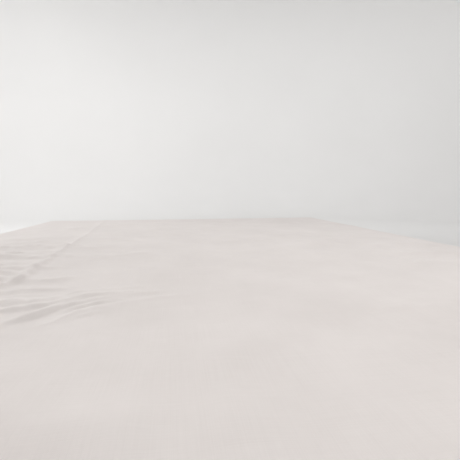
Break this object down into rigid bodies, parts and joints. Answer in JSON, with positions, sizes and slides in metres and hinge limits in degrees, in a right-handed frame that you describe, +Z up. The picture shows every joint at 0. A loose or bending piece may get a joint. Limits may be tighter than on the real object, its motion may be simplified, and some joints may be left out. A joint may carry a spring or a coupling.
{
  "type": "bed sheet on mattress",
  "caption": "Plain flat bed sheet spread over a mattress, hanging down all round with a loose cone fold at each corner.",
  "frame": {"origin": "middle of the mattress's underside, on the floor", "axes": "+X across the bed to its right side seen from the foot, +Y along the bed to the head end, +Z up"},
  "size_m": [1.8095, 2.2839, 0.3111],
  "materials": {
    "percale": "matt plain-weave cotton, warm oat grey",
    "ticking": "matt off-white knitted mattress cover"
  },
  "bodies": {
    "root": {"sheet": "percale", "mattress": "ticking"}
  },
  "joints": []
}
